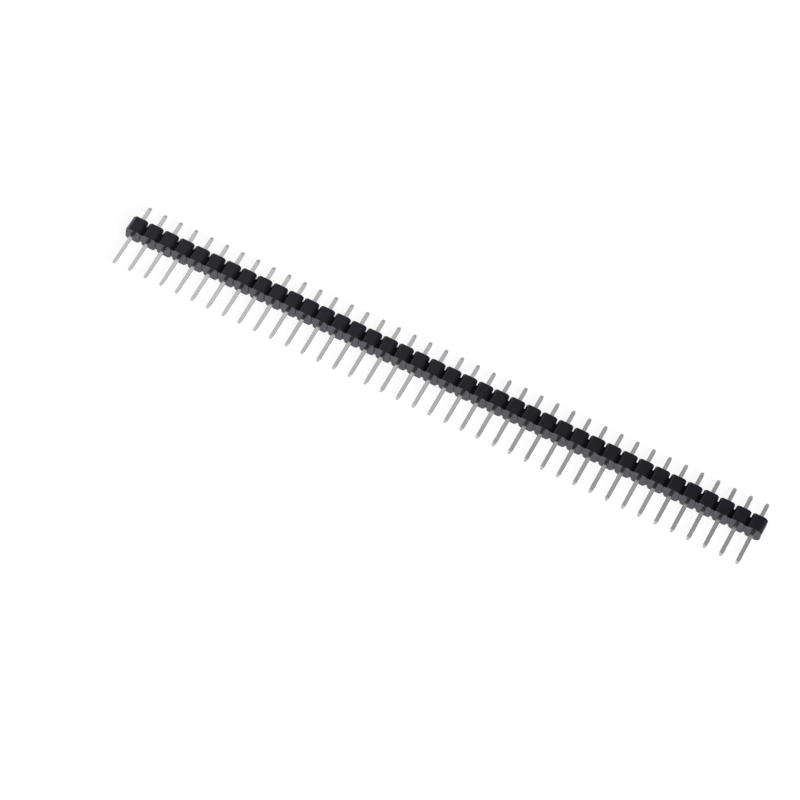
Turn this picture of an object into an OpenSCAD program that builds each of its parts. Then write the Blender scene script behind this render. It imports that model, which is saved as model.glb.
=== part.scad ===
// Breakaway pin header strip: a row of square metal pins pressed through a moulded plastic housing.
// X runs along the row, +Y is the way the short board ends point, and +Z is up.
// The strip lies on one long side of the housing. The origin is on that surface, under the middle
// of the row and halfway along the pins.

/* [Row] */
// Number of pins in the row
pin_count = 40; // [2:1:40]
// Distance from one pin's axis to the next
pitch = 2.54; // [2.2:0.01:3]

/* [Pins] */
// Side of the square wire
wire = 0.64; // [0.4:0.01:0.8]
// Length of the mating end, from the near face of the housing to the tip
mating_length = 5.85; // [3:0.05:12]
// Length of the board end, from the far face of the housing to the tip
board_length = 3; // [1.5:0.05:8]
// Length of the coined taper at each tip
tip_length = 0.5; // [0.2:0.05:1]
// Side of the small square at the end of each tip
tip_side = 0.36; // [0.1:0.01:0.36]
// Depth of the break on the long edges of the wire
wire_edge = 0.05; // [0.01:0.01:0.08]

/* [Housing] */
// Thickness of the housing across the row, which is its height as it lies
body_thickness = 2.54; // [2:0.02:3]
// Depth of the housing along the pins
body_depth = 2.54; // [1.8:0.02:4]
// Reach of the housing past the axis of an end pin
end_reach = 1.2; // [1:0.05:1.25]
// Depth of the V grooves between cells and of the matching end corners
groove_depth = 0.5; // [0.2:0.05:0.5]
// Radius of the shoulders where the grooves meet the long sides
shoulder_radius = 0.5; // [0.1:0.05:0.6]
// Break on the outer edges of both pin faces
face_edge = 0.05; // [0.02:0.01:0.12]
// Width of the lead-in above and below each pin on the mating side
lead_in_width = 0.45; // [0.2:0.05:0.6]
// Height of the lead-in, from the pin to its outer end
lead_in_height = 0.5; // [0.1:0.05:0.5]
// Depth of the lead-in where it meets the pin
lead_in_depth = 0.16; // [0.05:0.01:0.3]

/* [Breakaway] */
// Width of the slot between cells on the board side
slot_width = 0.22; // [0.1:0.02:0.5]
// Depth of that slot from the board face
slot_depth = 0.7; // [0.3:0.05:1]
// Break on both edges of the slot's mouth
mouth_edge = 0.06; // [0.02:0.01:0.15]
// Width of the sunk neck between cells on the mating side
neck_width = 0.42; // [0.2:0.02:0.6]
// Depth that the neck is sunk below the cells
neck_depth = 0.14; // [0.04:0.01:0.3]
// Run of the steep walls on either side of the neck
neck_wall = 0.06; // [0:0.01:0.1]

/* [Hidden] */
housing_color = [0.13, 0.12, 0.14];
pin_color = [0.78, 0.78, 0.79];

pin_length = mating_length + body_depth + board_length;
near_y = mating_length - pin_length / 2;
far_y = near_y + body_depth;
mid_y = (near_y + far_y) / 2;
axis_z = body_thickness / 2;
end_x = (pin_count - 1) / 2 * pitch + end_reach;

// How far a cutting shape runs on past the part
overrun = 1;

// Places along X of the pins, and of the lines between cells where the strip snaps apart
function pin_x(i) = (i - (pin_count + 1) / 2) * pitch;
break_lines = [for (i = [1 : pin_count - 1]) pin_x(i) + pitch / 2];

function pin_name(i) = str("pin_", i < 10 ? "0" : "", i);

// A square that stands on its corner, for cuts at 45 degrees; its corners lie at the reach from its centre
module diamond(reach) {
    rotate(45) square(sqrt(2) * reach, center = true);
}

// Stands an outline up in the XZ plane and extrudes it along Y, centred on the origin
module along_y(length) {
    rotate([90, 0, 0]) linear_extrude(length, center = true) children();
}

// Section of the wire: a square with its edges broken
module wire_section() {
    intersection() {
        square(wire, center = true);
        diamond(wire - wire_edge);
    }
}

// Cut for one V groove in a surface along X, with a round shoulder on either side of it
module groove() {
    tangent = shoulder_radius * tan(22.5);
    diamond(groove_depth);
    for (side = [0, 1]) mirror([side, 0]) translate([groove_depth, 0]) difference() {
        polygon([
            [tangent, groove_depth / 2], [-groove_depth, groove_depth / 2],
            -tangent * [cos(45), sin(45)], [tangent, -shoulder_radius],
        ]);
        translate([tangent, -shoulder_radius]) circle(shoulder_radius);
    }
}

// The housing seen along the pins: V grooves between the cells, and end corners that match them
module groove_outline() {
    difference() {
        square([2 * end_x, body_thickness], center = true);
        for (x = concat(break_lines, [-end_x, end_x]), side = [0, 1])
            mirror([0, side]) translate([x, body_thickness / 2]) groove();
    }
}

// Cut that sinks the neck between two cells, from a surface along X
module neck() {
    mouth = neck_width / 2;
    floor = mouth - neck_wall;
    polygon([
        [-mouth, -overrun], [-mouth, 0], [-floor, neck_depth],
        [floor, neck_depth], [mouth, 0], [mouth, -overrun],
    ]);
}

// The housing seen from above: board side slots with broken mouths, mating side necks and end corners
module plan_outline() {
    difference() {
        translate([-end_x, near_y]) square([2 * end_x, body_depth]);
        for (x = break_lines) {
            translate([x - slot_width / 2, far_y - slot_depth]) square([slot_width, slot_depth + overrun]);
            for (side = [-1, 1])
                translate([x + side * slot_width / 2, far_y]) diamond(mouth_edge);
            translate([x, near_y]) neck();
        }
        for (x = [-end_x, end_x], y = [near_y, far_y])
            translate([x, y]) diamond(face_edge);
    }
}

// The housing seen from its end: a plain section with broken edges
module end_outline() {
    difference() {
        translate([near_y, -body_thickness / 2]) square([body_depth, body_thickness]);
        for (y = [near_y, far_y], side = [-1, 1])
            translate([y, side * body_thickness / 2]) diamond(face_edge);
    }
}

// Cut for the lead-in above and below a pin: a wedge that narrows from the surface to the pin
module lead_in() {
    reach = wire / 2 + lead_in_height;
    rotate([90, 0, 90]) linear_extrude(lead_in_width, center = true) polygon([
        [-overrun, -reach], [0, -reach], [lead_in_depth * reach / lead_in_height, 0],
        [0, reach], [-overrun, reach],
    ]);
}

// One moulding: the solid that all three outlines share, with a hole and a lead-in for each pin
module housing() {
    color(housing_color) translate([0, 0, axis_z]) difference() {
        intersection() {
            translate([0, mid_y, 0]) along_y(body_depth + overrun) groove_outline();
            linear_extrude(body_thickness + overrun, center = true) plan_outline();
            rotate([90, 0, 90]) linear_extrude(2 * end_x + overrun, center = true) end_outline();
        }
        for (i = [1 : pin_count]) {
            translate([pin_x(i), mid_y, 0]) along_y(body_depth + overrun) wire_section();
            translate([pin_x(i), near_y, 0]) lead_in();
        }
    }
}

// A pin's outline, the same from above and from the side, with a taper at both tips
module pin_outline() {
    half = pin_length / 2;
    corner = [[wire / 2, half - tip_length], [tip_side / 2, half]];
    polygon([
        corner[0], corner[1],
        [-corner[1].x, corner[1].y], [-corner[0].x, corner[0].y],
        -corner[0], -corner[1],
        [corner[1].x, -corner[1].y], [corner[0].x, -corner[0].y],
    ]);
}

// One pin: square wire with broken edges, coined to a blunt four-sided point at both ends
module pin(i) {
    color(pin_color) translate([pin_x(i), 0, axis_z]) intersection() {
        linear_extrude(2 * wire, center = true) pin_outline();
        rotate([0, 90, 0]) linear_extrude(2 * wire, center = true) pin_outline();
        along_y(pin_length + overrun) diamond(wire - wire_edge);
    }
}

housing();
for (i = [1 : pin_count])
    pin(i);
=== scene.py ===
"""Looks of the pin header strip: a black moulded housing and forty plated square pins.

Lengths are in metres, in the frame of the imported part: X runs along the row, +Y is the way the
short board ends point, and Z is up from the floor that the strip lies on.
"""
import math

import bpy
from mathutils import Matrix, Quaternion, Vector


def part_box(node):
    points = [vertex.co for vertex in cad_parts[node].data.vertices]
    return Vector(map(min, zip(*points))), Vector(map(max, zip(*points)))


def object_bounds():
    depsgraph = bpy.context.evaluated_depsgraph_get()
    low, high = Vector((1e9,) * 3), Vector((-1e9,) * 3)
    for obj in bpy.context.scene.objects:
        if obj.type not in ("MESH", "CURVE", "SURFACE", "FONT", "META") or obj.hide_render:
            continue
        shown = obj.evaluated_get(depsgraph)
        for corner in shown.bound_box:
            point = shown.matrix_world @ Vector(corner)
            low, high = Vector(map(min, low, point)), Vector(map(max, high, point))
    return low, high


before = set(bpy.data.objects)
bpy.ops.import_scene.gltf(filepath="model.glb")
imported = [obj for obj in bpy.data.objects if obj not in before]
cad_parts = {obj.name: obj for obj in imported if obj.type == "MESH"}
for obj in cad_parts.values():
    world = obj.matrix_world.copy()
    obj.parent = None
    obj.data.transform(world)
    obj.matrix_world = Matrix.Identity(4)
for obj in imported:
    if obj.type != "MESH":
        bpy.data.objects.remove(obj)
cad_low, cad_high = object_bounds()
housing_low, housing_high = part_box("housing")
pin_low, pin_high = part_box("pin_01")

MM = 0.001
PIN_PLANE = (pin_low.z + pin_high.z) / 2
MIDDLE = Vector(((cad_low.x + cad_high.x) / 2, (cad_low.y + cad_high.y) / 2, PIN_PLANE))
WHITE = (1, 1, 1, 1)


# ---------------------------------------------------------------------------- node helpers


def new_material(name):
    """An empty node material, and its tree."""
    material = bpy.data.materials.new(name)
    material.use_nodes = True
    material.node_tree.nodes.clear()
    return material, material.node_tree


def add(tree, kind, **values):
    """A node of that kind. A value named after an input is set there, and any other on the node."""
    node = tree.nodes.new(kind)
    for name, value in values.items():
        title = name.replace("_", " ")
        if title in node.inputs:
            node.inputs[title].default_value = value
        else:
            setattr(node, name, value)
    return node


def join(tree, source, target):
    tree.links.new(source, target)


def surface(tree, shader, kind="Material"):
    """Makes that shader the surface of the material, or of the world."""
    output = add(tree, "ShaderNodeOutput" + kind)
    join(tree, shader, output.inputs["Surface"])


def calculate(tree, operation, *terms):
    """The result of a Math node. Each term is a socket or a number."""
    node = add(tree, "ShaderNodeMath", operation=operation)
    for term, socket in zip(terms, node.inputs):
        if isinstance(term, bpy.types.NodeSocket):
            join(tree, term, socket)
        else:
            socket.default_value = term
    return node.outputs[0]


def axes(tree, space):
    """The X, Y and Z outputs of that texture space."""
    node = add(tree, "ShaderNodeSeparateXYZ")
    join(tree, add(tree, "ShaderNodeTexCoord").outputs[space], node.inputs[0])
    return node.outputs


def fade(tree, source, start, end, low=0.0, high=1.0):
    """A smooth change from low, where the source is at start, to high, where it is at end."""
    node = add(tree, "ShaderNodeMapRange", interpolation_type="SMOOTHSTEP",
               From_Min=start, From_Max=end, To_Min=low, To_Max=high)
    join(tree, source, node.inputs["Value"])
    return node.outputs["Result"]


def stretched_noise(tree, scale, detail, stretch=(1, 1, 1)):
    """Noise in the part's own space, of that many features in a metre, drawn out by stretch."""
    space = add(tree, "ShaderNodeTexCoord")
    mapping = add(tree, "ShaderNodeMapping", Scale=stretch)
    noise = add(tree, "ShaderNodeTexNoise", Scale=scale, Detail=detail)
    join(tree, space.outputs["Object"], mapping.inputs["Vector"])
    join(tree, mapping.outputs["Vector"], noise.inputs["Vector"])
    return noise.outputs["Fac"]


def spread(tree, noise, low, high):
    """Maps a noise, most of which lies between 0.3 and 0.7, onto the range from low to high."""
    node = add(tree, "ShaderNodeMapRange", From_Min=0.3, From_Max=0.7, To_Min=low, To_Max=high)
    join(tree, noise, node.inputs["Value"])
    return node.outputs["Result"]


def blend_colours(tree, factor, first, second):
    """A colour between the first and the second."""
    node = add(tree, "ShaderNodeMix", data_type="RGBA")
    node.inputs["A"].default_value = (*first, 1)
    node.inputs["B"].default_value = (*second, 1)
    join(tree, factor, node.inputs["Factor"])
    return node.outputs["Result"]


def relief(tree, height, depth, edge_radius):
    """A normal that follows the height, over edges softened by a small radius."""
    bevel = add(tree, "ShaderNodeBevel", Radius=edge_radius)
    bump = add(tree, "ShaderNodeBump", Strength=1.0, Distance=depth)
    join(tree, height, bump.inputs["Height"])
    join(tree, bevel.outputs["Normal"], bump.inputs["Normal"])
    return bump.outputs["Normal"]


# ------------------------------------------------------------------------------- materials


def housing_plastic():
    """Glass-filled black plastic: a fine mould grain, faint flow marks and softened edges."""
    material, tree = new_material("housing_plastic")
    shader = add(tree, "ShaderNodeBsdfPrincipled",
                 IOR=1.52, Specular_Tint=(0.86, 0.84, 1.0, 1))
    flow = stretched_noise(tree, scale=500, detail=4, stretch=(0.35, 1, 1))
    grain = stretched_noise(tree, scale=9000, detail=2)
    colour = blend_colours(tree, flow, (0.0022, 0.0020, 0.0036), (0.0040, 0.0036, 0.0062))
    normal = relief(tree, grain, depth=0.0016 * MM, edge_radius=0.03 * MM)
    join(tree, colour, shader.inputs["Base Color"])
    join(tree, spread(tree, flow, 0.22, 0.34), shader.inputs["Roughness"])
    join(tree, normal, shader.inputs["Normal"])
    surface(tree, shader.outputs["BSDF"])
    return material


def pin_plating():
    """Plated wire: fine lines drawn along it, and a slightly uneven shine."""
    material, tree = new_material("pin_plating")
    shader = add(tree, "ShaderNodeBsdfPrincipled", Metallic=1.0)
    patches = stretched_noise(tree, scale=900, detail=4, stretch=(1, 0.35, 1))
    lines = stretched_noise(tree, scale=14000, detail=3, stretch=(1, 0.03, 1))
    colour = blend_colours(tree, patches, (0.87, 0.87, 0.88), (0.97, 0.97, 0.975))
    normal = relief(tree, lines, depth=0.0009 * MM, edge_radius=0.04 * MM)
    join(tree, colour, shader.inputs["Base Color"])
    join(tree, spread(tree, patches, 0.15, 0.26), shader.inputs["Roughness"])
    join(tree, normal, shader.inputs["Normal"])
    surface(tree, shader.outputs["BSDF"])
    return material


def floor_paper(shade, glow, painted_pool_glow):
    """Pale paper that takes the soft shadow. The camera and reflections see it as white.

    In front of the strip, reflections alone see a painted pool of light on it, a little over
    white.
    """
    material, tree = new_material("floor_paper")
    # Painted pool of light: reflections see the paper brighter in front of the strip.
    painted_pool_in_reflections = fade(tree, axes(tree, "Object")["Y"],
                          housing_high.y, housing_low.y, glow, painted_pool_glow)
    rays = add(tree, "ShaderNodeLightPath").outputs
    in_view = calculate(tree, "MULTIPLY", rays["Is Camera Ray"], glow)
    strength = calculate(tree, "MULTIPLY_ADD", rays["Is Glossy Ray"], painted_pool_in_reflections, in_view)
    paper = add(tree, "ShaderNodeBsdfDiffuse", Color=(shade, shade, shade, 1))
    light = add(tree, "ShaderNodeEmission", Color=WHITE)
    both = add(tree, "ShaderNodeAddShader")
    join(tree, strength, light.inputs["Strength"])
    join(tree, paper.outputs["BSDF"], both.inputs[0])
    join(tree, light.outputs["Emission"], both.inputs[1])
    surface(tree, both.outputs["Shader"])
    return material


def dress(node, material):
    """Gives a CAD node its material."""
    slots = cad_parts[node].data.materials
    slots.clear()
    slots.append(material)


plastic = housing_plastic()
plating = pin_plating()
dress("housing", plastic)
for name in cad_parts:
    if name.startswith("pin_"):
        dress(name, plating)


# ------------------------------------------------------------------ floor, world and lamps


def make_floor(half_width, paper):
    """The floor that the strip lies on."""
    corners = [(-1, -1), (1, -1), (1, 1), (-1, 1)]
    mesh = bpy.data.meshes.new("floor")
    mesh.from_pydata([(x * half_width, y * half_width, 0) for x, y in corners],
                     [], [(0, 1, 2, 3)])
    floor = bpy.data.objects.new("floor", mesh)
    bpy.context.scene.collection.objects.link(floor)
    floor.data.materials.append(paper)


def make_world(level, wall_level, wall_heights, wall_depths):
    """A dim room with a bright low wall in front of the strip. The camera sees it all as white.

    The wall comes in between the two heights and between the two depths, each the Z or the Y of
    a direction one unit long.
    """
    world = bpy.data.worlds.new("room")
    bpy.context.scene.world = world
    world.use_nodes = True
    tree = world.node_tree
    tree.nodes.clear()
    direction = axes(tree, "Generated")
    low_down = fade(tree, direction["Z"], *wall_heights)
    in_front = fade(tree, direction["Y"], *wall_depths)
    room = add(tree, "ShaderNodeMapRange", To_Min=level, To_Max=wall_level)
    rays = add(tree, "ShaderNodeLightPath").outputs
    strength = add(tree, "ShaderNodeMapRange", To_Max=1.0)
    background = add(tree, "ShaderNodeBackground", Color=WHITE)
    join(tree, calculate(tree, "MULTIPLY", low_down, in_front), room.inputs["Value"])
    join(tree, room.outputs["Result"], strength.inputs["To Min"])
    join(tree, rays["Is Camera Ray"], strength.inputs["Value"])
    join(tree, strength.outputs["Result"], background.inputs["Strength"])
    surface(tree, background.outputs["Background"], "World")


def area_lamp(name, size, radiance):
    """A lamp that shines straight down. A radiance of 1 shows as white in a mirror."""
    width, height = size
    data = bpy.data.lights.new(name, "AREA")
    data.shape = "RECTANGLE"
    data.size = width
    data.size_y = height
    data.energy = radiance * math.pi * width * height
    lamp = bpy.data.objects.new(name, data)
    bpy.context.scene.collection.objects.link(lamp)
    return lamp


def make_canopy(height, near, far, edges, radiances):
    """A row of panels behind and over the strip, whose light falls away along the row.

    They hang in the camera's way, so it doesn't see them. Their places are in millimetres.
    """
    for index, radiance in enumerate(radiances):
        left, right = edges[index], edges[index + 1]
        size = ((right - left) * MM, (far - near) * MM)
        lamp = area_lamp("canopy_%d" % (index + 1), size, radiance)
        lamp.location = MIDDLE + Vector(((left + right) / 2, (near + far) / 2, height)) * MM
        lamp.visible_camera = False


def softbox(name, towards, distance, size, radiance):
    """A lamp that stands off that way from the part, and faces it."""
    lamp = area_lamp(name, size, radiance)
    direction = Vector(towards).normalized()
    lamp.location = MIDDLE + direction * distance
    lamp.rotation_mode = "QUATERNION"
    lamp.rotation_quaternion = (-direction).to_track_quat("-Z", "Y")


# The front value is a painted pool of light on the floor, seen only in reflections.
make_floor(half_width=2.0, paper=floor_paper(shade=0.20, glow=0.85, painted_pool_glow=1.35))
make_world(level=0.25, wall_level=1.5, wall_heights=(0.43, 0.12), wall_depths=(0.0, -0.4))
make_canopy(height=70, near=14, far=110,
            edges=(-170, -80, -40, -5, 30, 130), radiances=(0.23, 0.31, 0.22, 0.09, 0.02))
softbox("overhead", (0.0, 0.0, 1.0), distance=0.6, size=(1.6, 0.45), radiance=0.33)
softbox("back", (-0.15, 0.90, 0.42), distance=0.6, size=(0.6, 0.2), radiance=0.11)
softbox("left", (-0.90, 0.36, 0.22), distance=0.5, size=(0.28, 0.20), radiance=0.55)
softbox("key", (0.6, -0.5, 0.62), distance=0.8, size=(0.5, 0.5), radiance=5.5)


# ---------------------------------------------------------------------------------- camera


def make_camera(aim, azimuth, elevation, roll, distance, lens):
    """A camera that looks at aim from that azimuth, round from the -Y side, and elevation."""
    away = Vector((math.sin(azimuth) * math.cos(elevation),
                   -math.cos(azimuth) * math.cos(elevation),
                   math.sin(elevation)))
    data = bpy.data.cameras.new("camera")
    data.lens = lens
    data.sensor_width = 36
    camera = bpy.data.objects.new("camera", data)
    camera.location = aim + away * distance
    camera.rotation_mode = "QUATERNION"
    turn = Quaternion((0, 0, 1), roll)
    camera.rotation_quaternion = (-away).to_track_quat("-Z", "Y") @ turn
    bpy.context.scene.collection.objects.link(camera)
    bpy.context.scene.camera = camera


make_camera(
    aim=MIDDLE + Vector((-3.41, -5.30, 0)) * MM,
    azimuth=math.radians(16.45),
    elevation=math.radians(56.62),
    roll=math.radians(11.91),
    distance=546.6 * MM,
    lens=173.36,
)
bpy.context.scene.view_settings.view_transform = "Standard"
